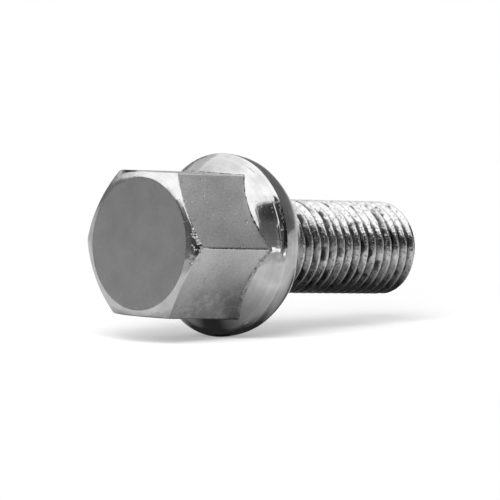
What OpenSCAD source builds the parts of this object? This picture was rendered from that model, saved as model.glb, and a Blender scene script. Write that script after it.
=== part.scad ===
// Wheel bolt forged, turned and rolled in one piece: a hexagon head, a domed
// collar with a ball seat behind it, and a metric thread with a chamfered tip.
// It stands on the flat end of its head, axis along +Z. All sizes in millimetres.

/* [Hexagon head] */

// Size across two opposite flats, taken by the wrench
across_flats = 18; // [17:0.1:19.4]
// Diameter of the flat end face inside the corner chamfer
face_diameter = 16.3; // [14:0.1:16.9]
// Slope of the corner chamfer against the end face, in degrees
chamfer_angle = 23.5; // [15:0.5:35]
// Height from the end face to the front edge of the collar's rim
head_height = 14.8; // [13.5:0.1:20]

/* [Collar and ball seat] */

// Diameter over the rim of the collar
collar_diameter = 23.1; // [22.5:0.1:25.8]
// Width of the cylindrical rim
rim_width = 1.5; // [0.6:0.1:4]
// Radius of the domed front, whose centre lies on the axis
dome_radius = 13.6; // [13:0.1:18]
// Radius of the ball seat, whose centre lies on the axis
seat_radius = 12.5; // [12:0.1:15]

/* [Thread and shank] */

// Outer diameter of the thread
thread_diameter = 12; // [10:0.5:14]
// Distance from one thread crest to the next
thread_pitch = 1.5; // [1:0.25:1.75]
// Diameter of the plain neck between the seat and the thread
neck_diameter = 11; // [10:0.5:14]
// Length of the plain neck that shows behind the seat
neck_length = 0.7; // [0.4:0.1:3]
// Length of the whole bolt, from the end face to the tip
overall_length = 46.5; // [38:0.5:70]
// Depth of the 45 degree chamfer at the tip
tip_chamfer = 1; // [0.6:0.1:1.5]

/* [Fineness] */

// Straight segments in one turn of the thread
segments_per_turn = 36; // [24:6:48]

/* [Hidden] */

$fn = 96;

// Head
across_corners = across_flats / cos(30);
face_radius = face_diameter / 2;
corner_radius = across_corners / 2;
chamfer_reach = corner_radius + 1;
chamfer_rise = (chamfer_reach - face_radius) * tan(chamfer_angle);

// Collar: the dome's centre lies behind the rim's front edge and the ball's in
// front of its back edge. A ball smaller than the collar leaves a flat shoulder
collar_radius = collar_diameter / 2;
rim_front = head_height;
rim_back = rim_front + rim_width;
dome_centre = rim_front + sqrt(max(0, pow(dome_radius, 2) - pow(collar_radius, 2)));
seat_centre = rim_back - sqrt(max(0, pow(seat_radius, 2) - pow(collar_radius, 2)));

// Neck: it leaves the ball seat where the seat's surface has its radius
neck_radius = neck_diameter / 2;
seat_end = seat_centre + sqrt(pow(seat_radius, 2) - pow(neck_radius, 2));
neck_end = seat_end + neck_length;

// Thread: 60 degree flanks, a crest of an eighth and a depth of 0.613 of the pitch.
// The helix runs on past the tip, where the chamfer cuts it off
crest_radius = thread_diameter / 2;
root_radius = crest_radius - 0.613 * thread_pitch;
crest_half = thread_pitch / 16;
tip_radius = crest_radius - tip_chamfer;
helix_start = seat_end - thread_pitch / 2;
helix_turns = (overall_length - helix_start) / thread_pitch + 0.5;
steps = ceil(helix_turns * segments_per_turn);
rod_start = helix_start - thread_pitch;
rod_stop = helix_start + (helix_turns + 2) * thread_pitch;
runout_length = 1.2 * thread_pitch;
least_ridge = 0.01;

// Crest radius of the ridge where its middle is at height z: it rises out of the
// neck over the run-out
function ridge_radius(z) =
    let (part = min(1, (z - helix_start) / runout_length))
    root_radius + max(least_ridge, part * (crest_radius - root_radius));

// Half the ridge's width at radius r
function ridge_half(r) = crest_half + (crest_radius - r) * tan(30);

// Angle of step i round the helix
function step_angle(i) = 360 * i / segments_per_turn;

// Height of step i at the middle of the root below the ridge
function step_height(i) = helix_start + thread_pitch * i / segments_per_turn;

// Point at radius r, angle a and height z
function turned(r, a, z) = [r * cos(a), r * sin(a), z];

// The five points across the thread at step i: root, foot, crest, crest, foot
function thread_points(i) =
    let (
        a = step_angle(i),
        z = step_height(i) + thread_pitch / 2,
        r = ridge_radius(z),
        foot = ridge_half(root_radius),
        top = ridge_half(r)
    )
    [
        turned(root_radius, a, z - thread_pitch / 2),
        turned(root_radius, a, z - foot),
        turned(r, a, z - top),
        turned(r, a, z + top),
        turned(root_radius, a, z + foot)
    ];

// Threaded rod as one closed helical surface between two flat ends. Upright walls
// lead to the first turn and from the last, and each wall's seam meets the end of
// the ridge there
module threaded_rod() {
    n = segments_per_turn;
    top_step = steps - n;
    turns_points = [for (i = [0:steps]) each thread_points(i)];
    edge_points = [
        for (i = [1:n])
            turned(root_radius, step_angle(top_step + i), step_height(steps + i))
    ];
    low_points = [for (i = [0:n - 1]) turned(root_radius, step_angle(i), rod_start)];
    high_points = [
        for (i = [0:n - 1])
            turned(root_radius, step_angle(top_step + i), rod_stop)
    ];
    edge_at = len(turns_points);
    low_at = edge_at + n;
    high_at = low_at + n;
    // Place of point k of step i in the list; k = 5 is the root one turn further on
    function at(i, k) = k < 5 ? 5 * i + k
        : i <= top_step ? 5 * (i + n)
        : edge_at + i - top_step - 1;
    thread_faces = [
        for (i = [0:steps - 1], k = [0:4])
            each [
                [at(i, k), at(i, k + 1), at(i + 1, k)],
                [at(i + 1, k), at(i, k + 1), at(i + 1, k + 1)]
            ]
    ];
    low_wall = [
        for (i = [0:n - 2])
            each [
                [low_at + i, at(i, 0), low_at + i + 1],
                [low_at + i + 1, at(i, 0), at(i + 1, 0)]
            ]
    ];
    low_seam = [
        [at(n - 1, 0), at(0, 5), at(0, 4)],
        [at(n - 1, 0), at(0, 4), at(0, 1)],
        [at(n - 1, 0), at(0, 1), at(0, 0)],
        [at(n - 1, 0), at(0, 0), low_at + n - 1],
        [low_at + n - 1, at(0, 0), low_at]
    ];
    high_wall = [
        for (i = [1:n - 1])
            each [
                [at(top_step + i, 5), high_at + i, at(top_step + i + 1, 5)],
                [at(top_step + i + 1, 5), high_at + i, high_at + (i + 1) % n]
            ]
    ];
    high_seam = [
        [at(steps, 0), at(steps, 1), at(top_step + 1, 5)],
        [at(steps, 1), at(steps, 4), at(top_step + 1, 5)],
        [at(steps, 4), at(steps, 5), at(top_step + 1, 5)],
        [at(steps, 5), high_at, at(top_step + 1, 5)],
        [at(top_step + 1, 5), high_at, high_at + 1]
    ];
    caps = [
        [at(0, 1), at(0, 4), at(0, 3)],
        [at(0, 1), at(0, 3), at(0, 2)],
        [at(steps, 1), at(steps, 3), at(steps, 4)],
        [at(steps, 1), at(steps, 2), at(steps, 3)],
        [for (i = [0:n - 1]) low_at + i],
        [for (i = [n - 1:-1:0]) high_at + i]
    ];
    polyhedron(
        points = concat(turns_points, edge_points, low_points, high_points),
        faces = concat(
            thread_faces, low_wall, low_seam, high_wall, high_seam, caps
        ),
        convexity = 10
    );
}

// Threaded rod cut off at the tip with its chamfer
module thread() {
    intersection() {
        threaded_rod();
        rotate_extrude()
            polygon([
                [0, rod_start - 1],
                [crest_radius + 1, rod_start - 1],
                [crest_radius + 1, overall_length - tip_chamfer - 1],
                [tip_radius, overall_length],
                [0, overall_length]
            ]);
    }
}

// Hexagon with its end corners turned to a chamfer, sunk into the collar
module hexagon() {
    intersection() {
        cylinder(r = corner_radius, h = rim_front, $fn = 6);
        rotate_extrude()
            polygon([
                [0, 0],
                [face_radius, 0],
                [chamfer_reach, chamfer_rise],
                [chamfer_reach, rim_back],
                [0, rim_back]
            ]);
    }
}

// Collar turned to a domed front, a cylindrical rim and the ball seat
module collar() {
    rotate_extrude() {
        intersection() {
            translate([0, dome_centre])
                circle(r = dome_radius);
            square([collar_radius, rim_front]);
        }
        translate([0, rim_front])
            square([collar_radius, rim_width]);
        intersection() {
            translate([0, seat_centre])
                circle(r = seat_radius);
            translate([0, rim_back])
                square([collar_radius, seat_end + neck_length - rim_back]);
        }
    }
}

// Plain neck, sloping at its end down to the root of the thread
module neck() {
    rotate_extrude()
        polygon([
            [0, rim_front],
            [neck_radius, rim_front],
            [neck_radius, neck_end],
            [root_radius - 0.1, neck_end + neck_radius - root_radius + 0.1],
            [0, neck_end + neck_radius - root_radius + 0.1]
        ]);
}

// The whole bolt
module wheel_bolt() {
    color("silver")
        union() {
            hexagon();
            collar();
            neck();
            thread();
        }
}

wheel_bolt();
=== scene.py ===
import math

import bmesh
import bpy
from mathutils import Matrix, Vector


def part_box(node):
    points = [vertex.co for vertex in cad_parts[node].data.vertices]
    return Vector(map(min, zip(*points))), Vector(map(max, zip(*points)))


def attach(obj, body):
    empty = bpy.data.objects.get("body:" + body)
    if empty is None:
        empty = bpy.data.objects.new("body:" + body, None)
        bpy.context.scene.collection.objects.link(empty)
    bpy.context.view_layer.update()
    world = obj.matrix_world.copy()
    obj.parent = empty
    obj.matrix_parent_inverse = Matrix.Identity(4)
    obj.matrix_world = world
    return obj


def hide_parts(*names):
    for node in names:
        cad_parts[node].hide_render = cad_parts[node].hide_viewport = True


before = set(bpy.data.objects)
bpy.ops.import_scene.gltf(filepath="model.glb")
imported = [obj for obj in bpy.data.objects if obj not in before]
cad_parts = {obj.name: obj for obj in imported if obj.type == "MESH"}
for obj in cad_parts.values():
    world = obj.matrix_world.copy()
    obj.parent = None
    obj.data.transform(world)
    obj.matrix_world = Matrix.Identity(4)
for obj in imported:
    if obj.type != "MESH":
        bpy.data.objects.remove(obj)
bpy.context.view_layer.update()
scene = bpy.context.scene
scene.view_settings.view_transform = "Standard"
MM = 0.001

# Camera: a long lens in front of the head, 43 degrees off the bolt's axis. The bolt
# lies on its side in the picture, whose up is the frame's -Y, so the camera is below
# the head on the +X side.
view_angle = math.radians(42.85)
view_turn = math.radians(-2.45)
view_roll = math.radians(0.88)
view_distance = 632.4 * MM
lens_in_pixels = 5005
picture_size = 500
aim_along_axis = 19.46 * MM
aim_right = 0.70 * MM
aim_down = 0.58 * MM

outward = Vector((math.cos(view_turn), math.sin(view_turn), 0))
level_down = Vector((-math.sin(view_turn), math.cos(view_turn), 0))
along = Vector((0, 0, 1))
look = along * math.cos(view_angle) - outward * math.sin(view_angle)
level_right = outward * math.cos(view_angle) + along * math.sin(view_angle)
right = level_right * math.cos(view_roll) - level_down * math.sin(view_roll)
down = level_right * math.sin(view_roll) + level_down * math.cos(view_roll)

camera_data = bpy.data.cameras.new("camera")
camera_data.sensor_width = 36
camera_data.lens = camera_data.sensor_width * lens_in_pixels / picture_size
camera_data.clip_start = 10 * MM
camera_data.clip_end = 5
camera = bpy.data.objects.new("camera", camera_data)
scene.collection.objects.link(camera)
aim = along * aim_along_axis + right * aim_right + down * aim_down
turn = Matrix((right, -down, -look)).transposed().to_4x4()
camera.matrix_world = Matrix.Translation(aim - look * view_distance) @ turn
scene.camera = camera


# Blank: the steel slug forged and turned to a hexagon head with chamfered corners, a
# domed collar with a rim, the ball seat behind it and a short neck. Each column of the
# mesh is one half section through it, whose corners carry their small real rounding.
low_corner, high_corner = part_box("wheel_bolt")
overall_length = high_corner.z
collar_radius = high_corner.x
across_flats = 18 * MM
flat_corner_radius = 0.35 * MM
face_radius = 8.19 * MM
face_lean = math.tan(math.radians(1.5))
chamfer_slope = math.tan(math.radians(23.5))
chamfer_bulge = 0.12 * MM
worn_corner = 0.8 * MM
rim_front = 14.8 * MM
rim_back = 16.3 * MM
dome_radius = 13.6 * MM
seat_radius = 12.5 * MM
neck_radius = 5.5 * MM
fold_width = 0.38 * MM
fold_depth = 0.32 * MM
fold_lip = 0.14 * MM
folds = ((-24, 11, 0.5), (-7, 8, 1.0), (82, 14, 0.45), (166, 20, 0.6), (243, 10, 0.4))
near_edge_darkening_half = 0.9
chamfer_dark_patch_middle = 254
chamfer_dark_patch_half = 15
rim_crown = ((0.6, 0.03), (1.2, 0.1), (1.8, 0.21))
columns = 144

dome_centre = rim_front + math.sqrt(dome_radius**2 - collar_radius**2)
seat_centre = rim_back - math.sqrt(seat_radius**2 - collar_radius**2)
seat_end = seat_centre + math.sqrt(seat_radius**2 - neck_radius**2)
corner_radius = across_flats / math.sqrt(3)


def hexagon_angles():
    """The columns' angles round the head, close together at the rounded corners."""
    centre = (across_flats / 2 - flat_corner_radius) / math.cos(math.radians(30))
    bend = math.atan2(
        flat_corner_radius / 2, centre + flat_corner_radius * math.cos(math.radians(30))
    )
    half = columns // 12
    side = [bend * k / 3 for k in range(4)] + [bend * 1.3]
    rest = math.radians(30) - side[-1]
    side += [side[4] + rest * k / (half - 4) for k in range(1, half - 3)]
    sector = side + [math.radians(60) - a for a in reversed(side[1:-1])]
    return [math.radians(60) * s + a for s in range(6) for a in sector], centre, bend


column_angles, corner_centre, corner_bend = hexagon_angles()


def hexagon_radius(angle):
    """Distance from the axis to the side of the hexagon at an angle round it."""
    off_corner = (angle + math.radians(30)) % math.radians(60) - math.radians(30)
    if abs(off_corner) < corner_bend:
        reach = corner_centre * math.sin(off_corner)
        return corner_centre * math.cos(off_corner) + math.sqrt(
            flat_corner_radius**2 - reach**2
        )
    return across_flats / 2 / math.cos(math.radians(30) - abs(off_corner))


def fold(angle):
    """How far the metal is folded over at the collar's edge: in a few places only."""
    deep = 0
    for middle, half, depth in folds:
        off = abs((math.degrees(angle) - middle + 180) % 360 - 180)
        deep = max(deep, depth * min(1, max(0, (half - off) / 3)))
    return deep


def half_section(angle):
    """Stations from the axis to the neck: radius, height, rounding, finish, and darkening that is
    painted shade or a dark mark.
    """
    side = hexagon_radius(angle)
    chamfer_run = corner_radius - face_radius
    part = (side - face_radius) / chamfer_run

    def front(r, t=0.0):
        lean = (corner_radius - r * math.cos(angle)) * face_lean
        return r, lean + chamfer_run * t * chamfer_slope - chamfer_bulge * 4 * t * (1 - t)

    def dome(r, raised=0.0):
        return r, dome_centre - math.sqrt(dome_radius**2 - r**2) - raised

    chamfer_end, dome_start = front(side, part)[1], dome(side)[1]
    near_corner = (side - across_flats / 2) / (corner_radius - across_flats / 2)
    worn = worn_corner * near_corner * min(1, max(0, -2 * math.cos(angle)))
    folded = fold(angle)
    swing = math.sin(2 * angle)
    # Painted shade darkens the fold's groove and the rim beside it.
    fold_painted_shade = min(1.2, folded * 2)
    lip = collar_radius - fold_width
    stations = [(*front(r * MM), 0, 0, 0) for r in (2.5, 5, 7, 7.7)]
    stations.append((*front(face_radius), 0.08 * MM, 0, 0.45))
    for t in (0.2, 0.4):
        stations.append((*front(face_radius + (side - face_radius) * t, part * t), 0, 2, 0))
    # A dark patch on the chamfer's edge round one angle of the head.
    chamfer_dark_patch = max(0, 1 - abs(math.degrees(angle) - chamfer_dark_patch_middle) / chamfer_dark_patch_half)
    stations.append((side, chamfer_end, 0.12 * MM + worn, 2, min(1, chamfer_dark_patch * 1.6)))
    # Darker along the corner edge of the flats at angle nought.
    near_edge_darkening = max(0, 1 - abs((math.degrees(angle) + 180) % 360 - 180) / near_edge_darkening_half)
    for t in (0.13, 0.25, 0.4, 0.6, 0.8, 0.93):
        stations.append((side, chamfer_end + (dome_start - chamfer_end) * t, 0, 1, near_edge_darkening))
    # Painted shade darkens the crease where the flats meet the dome.
    foot = (0.2 + 0.12 * swing) * MM
    stations.append((side, dome_start, foot, 1, 0.62 - 0.12 * swing))
    stations.append((*dome(side + 0.5 * MM, 0.02 * MM), 0, 2, 0))
    start = side + 0.5 * MM
    for t in (0.25, 0.5, 0.75, 0.93):
        stations.append((*dome(start + (lip - start) * t), 0, 2, 0))
    stations += [
        (*dome(lip, fold_lip * folded), 0.05 * MM, 2, 0),
        (*dome(lip + fold_width * 0.3, -fold_depth * folded), 0.04 * MM, 2, fold_painted_shade),
        (collar_radius, rim_front, 0.12 * MM, 2, fold_painted_shade * 0.8),
    ]
    for behind, inward in rim_crown:
        stations.append((collar_radius - inward * MM, rim_front + behind * MM, 0, 2, 0))
    first = math.acos((collar_radius - 0.36 * MM) / seat_radius)
    last = math.acos(neck_radius / seat_radius)
    for k in range(12):
        a = first + (last - first) * k / 12
        r, z = seat_radius * math.cos(a), seat_centre + seat_radius * math.sin(a)
        stations.append((r, z, 0, 2, 0))
    stations.append((neck_radius, seat_end, 0, 3, 0))
    return stations


def round_off(stations):
    """Replaces each station that has a rounding by a short curve through the corner."""
    rows = []
    for k, (r, z, cut, finish, painted_shade_and_dark_marks) in enumerate(stations):
        here = Vector((r, z))
        if not cut:
            rows.append((here, finish, painted_shade_and_dark_marks))
            continue
        back = (Vector(stations[k - 1][:2]) - here).normalized()
        ahead = (Vector(stations[k + 1][:2]) - here).normalized()
        rows.append((here + back * cut * 1.3, finish, min(painted_shade_and_dark_marks, stations[k - 1][4])))
        for t in (0, 0.25, 0.5, 0.75, 1):
            curve = back * cut * (1 - t) ** 2 + ahead * cut * t**2
            rows.append((here + curve, finish, painted_shade_and_dark_marks))
        after = stations[k + 1]
        rows.append((here + ahead * cut * 1.3, after[3], min(painted_shade_and_dark_marks, after[4])))
    return rows


sections = [round_off(half_section(a)) for a in column_angles]
row_count = len(sections[0])
last_flat_row = max(k for k in range(row_count) if sections[0][k][1] == 1)
rim_row = next(k for k in range(row_count) if sections[0][k][0].x > collar_radius - MM * 0.1)

blank_mesh = bmesh.new()
# Per-vertex darkening: painted shade in the crease and the fold, and other dark marks.
painted_shade_and_dark_marks = blank_mesh.verts.layers.float.new("painted_shade_and_dark_marks")
rings = []
for k in range(row_count):
    spread = min(1, max(0, (k - last_flat_row) / (rim_row - last_flat_row)))
    ring = []
    for j, section in enumerate(sections):
        even = math.tau * j / columns
        a = column_angles[j] + (even - column_angles[j]) * spread
        r, z = section[k][0]
        ring.append(blank_mesh.verts.new((r * math.cos(a), r * math.sin(a), z)))
        ring[-1][painted_shade_and_dark_marks] = section[k][2]
    rings.append(ring)
pole = blank_mesh.verts.new((0, 0, corner_radius * face_lean))
for j in range(columns):
    n = (j + 1) % columns
    blank_mesh.faces.new((pole, rings[0][n], rings[0][j]))
    for k in range(row_count - 1):
        face = blank_mesh.faces.new((rings[k][j], rings[k][n], rings[k + 1][n], rings[k + 1][j]))
        face.material_index = sections[j][k + 1][1]


class Wire:
    """A socket in a node tree. Arithmetic on it adds Math nodes."""

    def __init__(self, tree, socket):
        self.tree = tree
        self.socket = socket

    def node(self, kind, settings=None, inputs=None, out=0):
        """Adds a node: its settings first, then the values or links of its sockets."""
        made = self.tree.nodes.new(kind)
        for name, value in (settings or {}).items():
            setattr(made, name, value)
        for name, value in (inputs or {}).items():
            if isinstance(value, Wire):
                self.tree.links.new(value.socket, made.inputs[name])
            else:
                made.inputs[name].default_value = value
        return Wire(self.tree, made.outputs[out])

    def maths(self, operation, *values, **settings):
        settings["operation"] = operation
        return self.node("ShaderNodeMath", settings, dict(enumerate(values)))

    def __add__(self, other):
        return self.maths("ADD", self, other)

    def __radd__(self, other):
        return self.maths("ADD", other, self)

    def __sub__(self, other):
        return self.maths("SUBTRACT", self, other)

    def __rsub__(self, other):
        return self.maths("SUBTRACT", other, self)

    def __mul__(self, other):
        return self.maths("MULTIPLY", self, other)

    def __rmul__(self, other):
        return self.maths("MULTIPLY", other, self)

    def __truediv__(self, other):
        return self.maths("DIVIDE", self, other)

    def between(self, low, high):
        return self.maths("MAXIMUM", self.maths("MINIMUM", self, high), low)

    def rise(self, start, stop):
        """0 below start, 1 above stop, with a smooth rise between them."""
        inputs = {"Value": self, "From Min": start, "From Max": stop}
        return self.node("ShaderNodeMapRange", {"interpolation_type": "SMOOTHSTEP"}, inputs)


def start_finish(name):
    """A new material, the place on the piece in millimetres and its three parts."""
    material = bpy.data.materials.new(name)
    material.use_nodes = True
    tree = material.node_tree
    tree.nodes.clear()
    metres = Wire(tree, tree.nodes.new("ShaderNodeTexCoord").outputs["Object"])
    place = metres.node(
        "ShaderNodeVectorMath", {"operation": "SCALE"}, {0: metres, "Scale": 1000}
    )
    parts = tree.nodes.new("ShaderNodeSeparateXYZ")
    tree.links.new(place.socket, parts.inputs[0])
    x, y, z = (Wire(tree, socket) for socket in parts.outputs)
    return material, place, x, y, z


def noise(place, scale, detail=2.0, stretch=(1, 1, 1)):
    """Noise of a given number of grains to the millimetre, stretched along an axis."""
    drawn = place.node(
        "ShaderNodeVectorMath", {"operation": "MULTIPLY"}, {0: place, 1: stretch}
    )
    return place.node("ShaderNodeTexNoise", {}, {"Vector": drawn, "Scale": scale, "Detail": detail})


def plate(material, place, dark, light, tone, roughness, height, depth):
    """Metal between two greys, with its painted shade and dark marks, gloss and relief in millimetres.
    """
    tree = tone.tree
    colour = tone.node(
        "ShaderNodeMix", {"data_type": "RGBA"}, {0: tone, 6: (*dark, 1), 7: (*light, 1)}, 2
    )
    # The darkening attribute, painted shade and dark marks, takes the colour almost to black.
    painted_shade_and_dark_marks = tone.node("ShaderNodeAttribute", {"attribute_name": "painted_shade_and_dark_marks"}, {}, 2)
    painted_shade_and_dark_marks = (painted_shade_and_dark_marks * (noise(place, 2.6, 3) * 1.7 + 0.15)).rise(0.3, 0.95)
    colour = tone.node(
        "ShaderNodeMix", {"data_type": "RGBA"}, {0: painted_shade_and_dark_marks, 6: colour, 7: (0.02, 0.02, 0.02, 1)}, 2
    )
    roughness = roughness + painted_shade_and_dark_marks * 0.4
    relief = height.node(
        "ShaderNodeBump", {}, {"Strength": 1.0, "Distance": depth * MM, "Height": height}
    )
    surface = tone.node(
        "ShaderNodeBsdfPrincipled",
        {},
        {"Base Color": colour, "Metallic": 1.0, "Roughness": roughness, "Normal": relief},
    )
    end = tree.nodes.new("ShaderNodeOutputMaterial")
    tree.links.new(surface.socket, end.inputs["Surface"])


# Finish of the end face: the die's face printed in the steel, a dull even grey under
# the zinc, with a faint grain that runs across it.
end_face, place, x, y, z = start_finish("end_face_plated")
grain = noise(place, 2.6, 5, (2.5, 0.8, 1))
cloud = noise(place, 0.3, 2)
plate(
    end_face,
    place,
    (0.345, 0.345, 0.35),
    (0.42, 0.42, 0.425),
    (grain * 0.5 + cloud * 0.5).rise(0.3, 0.7),
    0.34 + grain * 0.1,
    grain,
    0.005,
)

# Finish of the flats: drawn through the die along the axis, so they are satin, with a
# slow wave in them, fine lines lengthwise and a few pits. The upper ones carry a painted
# reflection that brightens them near the collar, and the lower ones blotches of painted shade.
flats, place, x, y, z = start_finish("flats_plated")
wave = noise(place, 0.2, 1)
lines = noise(place, 4.5, 4, (1, 1, 0.6))
pits = noise(place, 1.7, 2).rise(0.66, 0.72)
# Painted reflection: the upper flats are lighter near the collar.
painted_reflection = z.rise(4, 12) * (1 - y.rise(-3, 0)) * 0.14
# Painted shade: the lower flats are darker in blotches away from the end face.
painted_shade_blotches = noise(place, 0.9, 4).rise(0.25, 0.65) * y.rise(3, 7) * z.rise(1, 5)
plate(
    flats,
    place,
    (0.42, 0.42, 0.425),
    (0.82, 0.82, 0.825),
    0.32 + (lines * 0.6 + wave * 0.4).rise(0.3, 0.7) * 0.4 + painted_reflection - pits * 0.3 - painted_shade_blotches * 0.5,
    0.26 + lines * 0.08,
    wave * 6 + lines * 0.5 - pits * 2.2,
    0.010,
)

# Finish of what the lathe turned: chamfer, dome, rim and ball seat. Bright zinc over
# fine rings round the axis, with slow dents of forging under them, and nicks from
# spanners at the hexagon's corners.
turned, place, x, y, z = start_finish("turned_plated")
from_axis = x.maths("SQRT", x * x + y * y)
turned_rings = noise(
    place.node("ShaderNodeCombineXYZ", {}, {0: from_axis, 1: z}), 2.0, 3
)
dent = noise(place, 0.5, 2)
speck = noise(place, 2.8, 2).rise(0.66, 0.74)
nicks = noise(place, 1.1, 4).rise(0.47, 0.60) * x.rise(8.6, 9.4) * (1 - z.rise(1.8, 2.4))
plate(
    turned,
    place,
    (0.51, 0.51, 0.515),
    (0.66, 0.66, 0.665),
    (turned_rings * 0.4 + dent * 0.6).rise(0.3, 0.7) - speck * 0.3 - nicks * 0.5,
    0.09 + turned_rings * 0.08,
    dent * 5 + turned_rings * (0.3 + z.rise(10, 13) * 1.2) - speck * 0.8 - nicks * 10,
    0.010,
)

# Finish of the rolled thread: flanks burnished bright by the rolls, roots darkened by
# painted shade with some dirt, reaching up the flanks in places, and the zinc scuffed and pitted all
# over.
rolled, place, x, y, z = start_finish("thread_plated")
from_axis = x.maths("SQRT", x * x + y * y)
# Painted shade with some dirt darkens the thread's roots, reaching up the flanks in places.
root_dark_reach = noise(place, 0.4, 2).rise(0.51, 0.62)
at_tip = z.rise(46.2, 46.4)
root_shade_and_dirt = (1 - (from_axis - root_dark_reach * 0.45).rise(5.1, 5.6)) * (1 - at_tip) + at_tip * 0.45
smear = noise(place, 0.7, 3)
scuff = noise(place, 3.2, 3)
pit = noise(place, 3.0, 2).rise(0.60, 0.66)
streak = noise(place, 0.45, 2).rise(0.58, 0.7)
plate(
    rolled,
    place,
    (0.06, 0.06, 0.061),
    (0.66, 0.66, 0.665),
    1 - root_shade_and_dirt * 0.85 - pit * 0.4 - streak * 0.25 - (1 - smear.rise(0.3, 0.6)) * 0.2,
    0.06 + scuff * 0.08 + root_shade_and_dirt * 0.12,
    smear * 4 + scuff * 2.2 - pit * 1.5,
    0.010,
)

# Threaded shank: a right-hand helix rolled into the shank, 1.5 mm from crest to crest,
# rising out of the neck and cut at the tip by a chamfer. Geometry Nodes shear a grid
# so that its rows follow the helix, and lift each row to its place on the thread.
thread_pitch = 1.5 * MM
crest_radius = 6 * MM
root_radius = crest_radius - 0.613 * thread_pitch
tip_chamfer = 1 * MM
neck_length = 0.7 * MM
rows_per_turn = 24
thread_sizes = {
    "Start height": seat_end,
    "Stop height": overall_length,
    "Pitch": thread_pitch,
    "Crest radius": crest_radius,
    "Root radius": root_radius,
    "Neck radius": neck_radius,
    "Neck end": seat_end + neck_length,
    "Tip chamfer": tip_chamfer,
    "Run-out": 1.2 * thread_pitch,
    "Nick depth": 0.07 * MM,
}
turns = math.ceil((overall_length - seat_end) / thread_pitch + 1.5)

thread_tree = bpy.data.node_groups.new("rolled_thread", "GeometryNodeTree")
thread_tree.interface.new_socket("Geometry", in_out="INPUT", socket_type="NodeSocketGeometry")
for name in thread_sizes:
    thread_tree.interface.new_socket(name, in_out="INPUT", socket_type="NodeSocketFloat")
thread_tree.interface.new_socket("Finish", in_out="INPUT", socket_type="NodeSocketMaterial")
thread_tree.interface.new_socket("Geometry", in_out="OUTPUT", socket_type="NodeSocketGeometry")
entry = thread_tree.nodes.new("NodeGroupInput")
given = {s.name: Wire(thread_tree, s) for s in entry.outputs if s.name}
pitch, crest, root = given["Pitch"], given["Crest radius"], given["Root radius"]

grid = pitch.node(
    "GeometryNodeMeshGrid",
    {},
    {"Size X": 1.0, "Size Y": 1.0, "Vertices X": columns + 1, "Vertices Y": turns * rows_per_turn + 1},
)
spot = pitch.node("GeometryNodeInputPosition")
apart = thread_tree.nodes.new("ShaderNodeSeparateXYZ")
thread_tree.links.new(spot.socket, apart.inputs[0])
round_part = Wire(thread_tree, apart.outputs[0]) + 0.5
turn_part = (Wire(thread_tree, apart.outputs[1]) + 0.5) * turns
helix_height = given["Start height"] - 0.5 * pitch + pitch * (turn_part - 1 + round_part)
height = helix_height.maths(
    "MAXIMUM", helix_height.maths("MINIMUM", helix_height, given["Stop height"]), given["Start height"]
)
off_crest = pitch * turn_part.maths("ABSOLUTE", (turn_part + 0.001).maths("FRACT", turn_part) - 0.5)
risen = ((height - given["Start height"] + 0.5 * pitch) / given["Run-out"]).between(0, 1)
top = root + (crest - root) * risen
flank = crest - (off_crest - pitch / 16) * (1 / math.tan(math.radians(30)))
ridge = flank.maths("SMOOTH_MIN", flank, top, 0.03 * MM)
thread_radius = ridge.maths("SMOOTH_MAX", ridge, root, 0.12 * MM)
around = round_part * math.tau
sweep = pitch.node(
    "ShaderNodeCombineXYZ",
    {},
    {0: around.maths("COSINE", around), 1: around.maths("SINE", around), 2: height / crest},
)
scar = pitch.node(
    "ShaderNodeTexNoise",
    {"noise_dimensions": "4D"},
    {"Vector": sweep, "W": 3.0, "Scale": 6.0, "Detail": 3.0},
)
at_crest = ((thread_radius - root) / (crest - root)).rise(0.6, 1.0)
thread_radius = thread_radius - given["Nick depth"] * scar.rise(0.58, 0.68) * at_crest
past_neck = height - given["Neck end"]
neck_side = given["Neck radius"] - past_neck.maths("MAXIMUM", past_neck, 0.0)
tip_side = crest - given["Tip chamfer"] + given["Stop height"] - height
thread_radius = thread_radius.maths("MAXIMUM", thread_radius, neck_side)
thread_radius = thread_radius.maths("MINIMUM", thread_radius, tip_side)
lifted = pitch.node(
    "ShaderNodeCombineXYZ",
    {},
    {
        0: around.maths("COSINE", around) * thread_radius,
        1: around.maths("SINE", around) * thread_radius,
        2: height,
    },
)
wrapped = grid.node("GeometryNodeSetPosition", {}, {"Geometry": grid, "Position": lifted})
sewn = wrapped.node("GeometryNodeMergeByDistance", {}, {"Geometry": wrapped, "Distance": 0.5e-6})
smooth = sewn.node("GeometryNodeSetShadeSmooth", {}, {"Geometry": sewn})
real = smooth.node("GeometryNodeRealizeInstances", {}, {"Geometry": smooth})
dressed = real.node("GeometryNodeSetMaterial", {}, {"Geometry": real, "Material": given["Finish"]})
leave = thread_tree.nodes.new("NodeGroupOutput")
thread_tree.links.new(dressed.socket, leave.inputs[0])

thread_maker = bpy.data.objects.new("thread_maker", bpy.data.meshes.new("thread_maker"))
scene.collection.objects.link(thread_maker)
rolling = thread_maker.modifiers.new("rolled_thread", "NODES")
rolling.node_group = thread_tree
for item in thread_tree.interface.items_tree:
    if item.in_out == "INPUT" and item.name in thread_sizes:
        rolling[item.identifier] = thread_sizes[item.name]
    if item.in_out == "INPUT" and item.name == "Finish":
        rolling[item.identifier] = rolled
thread_maker.update_tag()
bpy.context.view_layer.update()
made = thread_maker.evaluated_get(bpy.context.evaluated_depsgraph_get())
thread_mesh = bpy.data.meshes.new_from_object(made)
bpy.data.objects.remove(thread_maker)

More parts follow.
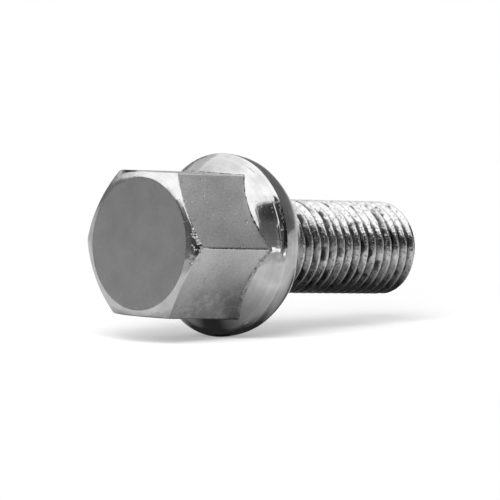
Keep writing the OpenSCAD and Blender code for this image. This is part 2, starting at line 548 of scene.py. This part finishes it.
# Whole bolt: blank and thread are one piece of steel, so their meshes are sewn at the
# neck, and the tip is closed by its flat end.
thread_start = len(blank_mesh.faces)
blank_mesh.from_mesh(thread_mesh)
blank_mesh.faces.ensure_lookup_table()
for face in blank_mesh.faces[thread_start:]:
    face.material_index = 3
bmesh.ops.remove_doubles(blank_mesh, verts=blank_mesh.verts, dist=0.001 * MM)
open_edges = [e for e in blank_mesh.edges if e.is_boundary]
if open_edges:
    bmesh.ops.holes_fill(blank_mesh, edges=open_edges, sides=0)
for face in blank_mesh.faces:
    face.smooth = True
    if len(face.verts) > 4:
        face.smooth = False
        face.material_index = 3
bmesh.ops.recalc_face_normals(blank_mesh, faces=blank_mesh.faces)
bolt_mesh = bpy.data.meshes.new("wheel_bolt_body")
blank_mesh.to_mesh(bolt_mesh)
blank_mesh.free()
for finish in (end_face, flats, turned, rolled):
    bolt_mesh.materials.append(finish)
bolt = bpy.data.objects.new("wheel_bolt_body", bolt_mesh)
scene.collection.objects.link(bolt)
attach(bolt, "root")
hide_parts("wheel_bolt")

# Floor: a white sheet that the rim rests on, tilted as the picture shows it. It takes
# the bolt's soft shadow, fades to plain white and can't be seen from behind. In the
# metal it shows as paper with a painted shadow, dark close under the bolt and darker towards the
# camera.
floor_tilt = math.radians(3.6)
floor_up = -down * math.cos(floor_tilt) - look * math.sin(floor_tilt)
floor_front = right.cross(floor_up)
touch = min(floor_up.dot(v.co) for v in bolt_mesh.vertices)
middle = along * overall_length / 2
under = middle + floor_up * (touch - middle.dot(floor_up))
floor_half = 400 * MM
fade_start = 45 * MM
fade_end = 100 * MM
floor_mesh = bpy.data.meshes.new("floor")
floor_mesh.from_pydata(
    [
        under + right * floor_half * sx + floor_front * floor_half * sy
        for sx, sy in ((-1, 1), (1, 1), (1, -1), (-1, -1))
    ],
    [],
    [(0, 1, 2, 3)],
)
floor = bpy.data.objects.new("floor", floor_mesh)
scene.collection.objects.link(floor)

paper = bpy.data.materials.new("white_paper")
paper.use_nodes = True
tree = paper.node_tree
tree.nodes.clear()
metres = Wire(tree, tree.nodes.new("ShaderNodeTexCoord").outputs["Object"])
reach = metres.node(
    "ShaderNodeVectorMath", {"operation": "DISTANCE"}, {0: metres, 1: under}, 1
)
white = metres.node("ShaderNodeEmission", {}, {"Color": (1, 1, 1, 1), "Strength": 1.0})
sheet = metres.node("ShaderNodeBsdfDiffuse", {}, {"Color": (0.8, 0.8, 0.8, 1)})
glow = metres.node("ShaderNodeEmission", {}, {"Color": (1, 1, 1, 1), "Strength": 0.3})
lit = metres.node("ShaderNodeAddShader", {}, {0: sheet, 1: glow})
faded = metres.node("ShaderNodeMixShader", {}, {0: reach.rise(fade_start, fade_end), 1: lit, 2: white})
split = tree.nodes.new("ShaderNodeSeparateXYZ")
tree.links.new(metres.socket, split.inputs[0])
x, y, z = (Wire(tree, socket) for socket in split.outputs)
past_end = z.maths("MAXIMUM", z * -3, z - overall_length)
past_end = past_end.maths("MAXIMUM", past_end, 0.0)
off_axis = x.maths("SQRT", x * x + past_end * past_end)
frontward, rightward = (
    metres.node("ShaderNodeVectorMath", {"operation": "DOT_PRODUCT"}, {0: metres, 1: way}, 1)
    - middle.dot(way)
    for way in (floor_front, right)
)
# Painted shadow for the metal: the paper is dark along the bolt's axis, widest beside the collar, and
# dimmer towards the camera and to the right.
painted_shadow_spread = z.rise(13.6 * MM, 14.9 * MM) * (4 * MM) - z.rise(19 * MM, 21.5 * MM) * (3 * MM)
paper_with_painted_shadow = ((off_axis - painted_shadow_spread - 1.5 * MM) / (15.5 * MM)).between(0, 1) * 0.78 + 0.025
paper_with_painted_shadow = paper_with_painted_shadow * (1 - 0.3 * frontward.rise(40 * MM, 60 * MM))
paper_with_painted_shadow = paper_with_painted_shadow * (1 - 0.7 * frontward.rise(160 * MM, 190 * MM))
paper_with_painted_shadow = paper_with_painted_shadow * (1 - 0.12 * rightward.rise(10 * MM, 30 * MM))
mirrored = metres.node("ShaderNodeEmission", {}, {"Color": (1, 1, 1, 1), "Strength": paper_with_painted_shadow})
ray = tree.nodes.new("ShaderNodeLightPath")
by_metal = metres.node(
    "ShaderNodeMixShader",
    {},
    {0: Wire(tree, ray.outputs["Is Glossy Ray"]), 1: faded, 2: mirrored},
)
clear = metres.node("ShaderNodeBsdfTransparent")
geometry = tree.nodes.new("ShaderNodeNewGeometry")
behind = Wire(tree, geometry.outputs["Backfacing"])
one_sided = metres.node("ShaderNodeMixShader", {}, {0: behind, 1: by_metal, 2: clear})
end = tree.nodes.new("ShaderNodeOutputMaterial")
tree.links.new(one_sided.socket, end.inputs["Surface"])
floor_mesh.materials.append(paper)

# Room: white all round for the eye and for the metal, with a weaker light on the rest.
world = bpy.data.worlds.new("white_room")
scene.world = world
world.use_nodes = True
tree = world.node_tree
tree.nodes.clear()
ray = tree.nodes.new("ShaderNodeLightPath")
seen = Wire(tree, ray.outputs["Is Camera Ray"])
seen = seen.maths("MAXIMUM", seen, Wire(tree, ray.outputs["Is Glossy Ray"]))
seen = seen.maths("MAXIMUM", seen, Wire(tree, ray.outputs["Is Transmission Ray"]))
sky = seen.node("ShaderNodeBackground", {}, {"Color": (1, 1, 1, 1), "Strength": 0.52 + seen * 0.48})
end = tree.nodes.new("ShaderNodeOutputWorld")
tree.links.new(sky.socket, end.inputs["Surface"])

# Softbox: one long lamp above the camera, reaching over the bolt. It makes the floor's
# shadow, and the tent below shows its glow to the metal.
softbox_width = 240 * MM
softbox_length = 420 * MM
softbox_distance = 400 * MM
softbox_power = 2.15
lamp_way = (floor_up * 0.65 + floor_front * 1.2 - right * 0.2).normalized()
softbox_data = bpy.data.lights.new("softbox", "AREA")
softbox_data.shape = "RECTANGLE"
softbox_data.size = softbox_width
softbox_data.size_y = softbox_length
softbox_data.energy = softbox_power
softbox = bpy.data.objects.new("softbox", softbox_data)
scene.collection.objects.link(softbox)
softbox.visible_camera = False
softbox.visible_glossy = False
lamp_side = floor_up.cross(lamp_way).normalized()
lamp_turn = Matrix((lamp_side, lamp_way.cross(lamp_side), lamp_way)).transposed().to_4x4()
softbox.matrix_world = Matrix.Translation(middle + lamp_way * softbox_distance) @ lamp_turn

# Light tent: a dark cloth room round the set, out of the picture, with bright panels in
# it. Only the metal sees it, and takes its blacks and whites from it.
tent_radius = 450 * MM
tent_mesh = bpy.data.meshes.new("light_tent")
tent_bm = bmesh.new()
bmesh.ops.create_icosphere(
    tent_bm, subdivisions=5, radius=tent_radius, matrix=Matrix.Translation(middle)
)
tent_bm.to_mesh(tent_mesh)
tent_bm.free()
tent = bpy.data.objects.new("light_tent", tent_mesh)
scene.collection.objects.link(tent)
tent.visible_camera = False
tent.visible_diffuse = False
tent.visible_shadow = False
tent.visible_transmission = False

cloth = bpy.data.materials.new("light_tent")
cloth.use_nodes = True
tree = cloth.node_tree
tree.nodes.clear()
metres = Wire(tree, tree.nodes.new("ShaderNodeTexCoord").outputs["Object"])
offset = metres.node("ShaderNodeVectorMath", {"operation": "SUBTRACT"}, {0: metres, 1: middle})
outwards = metres.node("ShaderNodeVectorMath", {"operation": "NORMALIZE"}, {0: offset})
sideways, upwards, frontwards = (
    outwards.node("ShaderNodeVectorMath", {"operation": "DOT_PRODUCT"}, {0: outwards, 1: way}, 1)
    for way in (right, floor_up, floor_front)
)
at_back = 1 - frontwards.rise(-0.3, 0.4)
at_left = 1 - sideways.rise(-0.6, 0.1)
ceiling = (upwards + at_back * 0.15).rise(0.72, 0.79) * (1.5 - at_back * at_left * 0.5)
ceiling = ceiling * (1 - sideways.rise(0.3, 0.5) * (1 - frontwards.rise(-0.5, -0.3)) * 0.8)
left_box = (1 - sideways.rise(-0.05, 0.01)) * upwards.rise(0.29, 0.38)
left_box = left_box * (0.7 + 0.85 * frontwards.rise(-0.5, 0.1))
strip = sideways.rise(0.90, 0.94) * frontwards.rise(0.10, 0.14) * (1 - frontwards.rise(0.28, 0.32))
strip = strip * (1 - upwards.rise(0.3, 0.4)) * 1.3
far_paper = at_back * (1 - upwards.rise(0.1, 0.2)) * 0.6
near_camera = frontwards.rise(0.78, 0.86)
walls = 0.05 + (1 - upwards.rise(-0.1, 0.6)) * 0.1 + at_back * 0.12
walls = walls * (1 - 0.95 * frontwards.rise(0.7, 0.8) * (1 - sideways.rise(-0.4, -0.2)))
walls = walls + near_camera * sideways.rise(-0.1, 0.1) * (1 - upwards.rise(0.3, 0.75)) * 0.07
walls = walls * (1 - 0.35 * sideways.rise(0.75, 0.9))
skirting = upwards.rise(-0.04, -0.02) * (1 - upwards.rise(0.02, 0.04)) * near_camera
skirting = skirting * sideways.rise(0.1, 0.2) * 2.5
shine = walls
for bright in (ceiling, left_box, strip, skirting, far_paper):
    shine = shine.maths("MAXIMUM", shine, bright)
glow = shine.node("ShaderNodeEmission", {}, {"Color": (1, 1, 1, 1), "Strength": shine})
end = tree.nodes.new("ShaderNodeOutputMaterial")
tree.links.new(glow.socket, end.inputs["Surface"])
tent_mesh.materials.append(cloth)
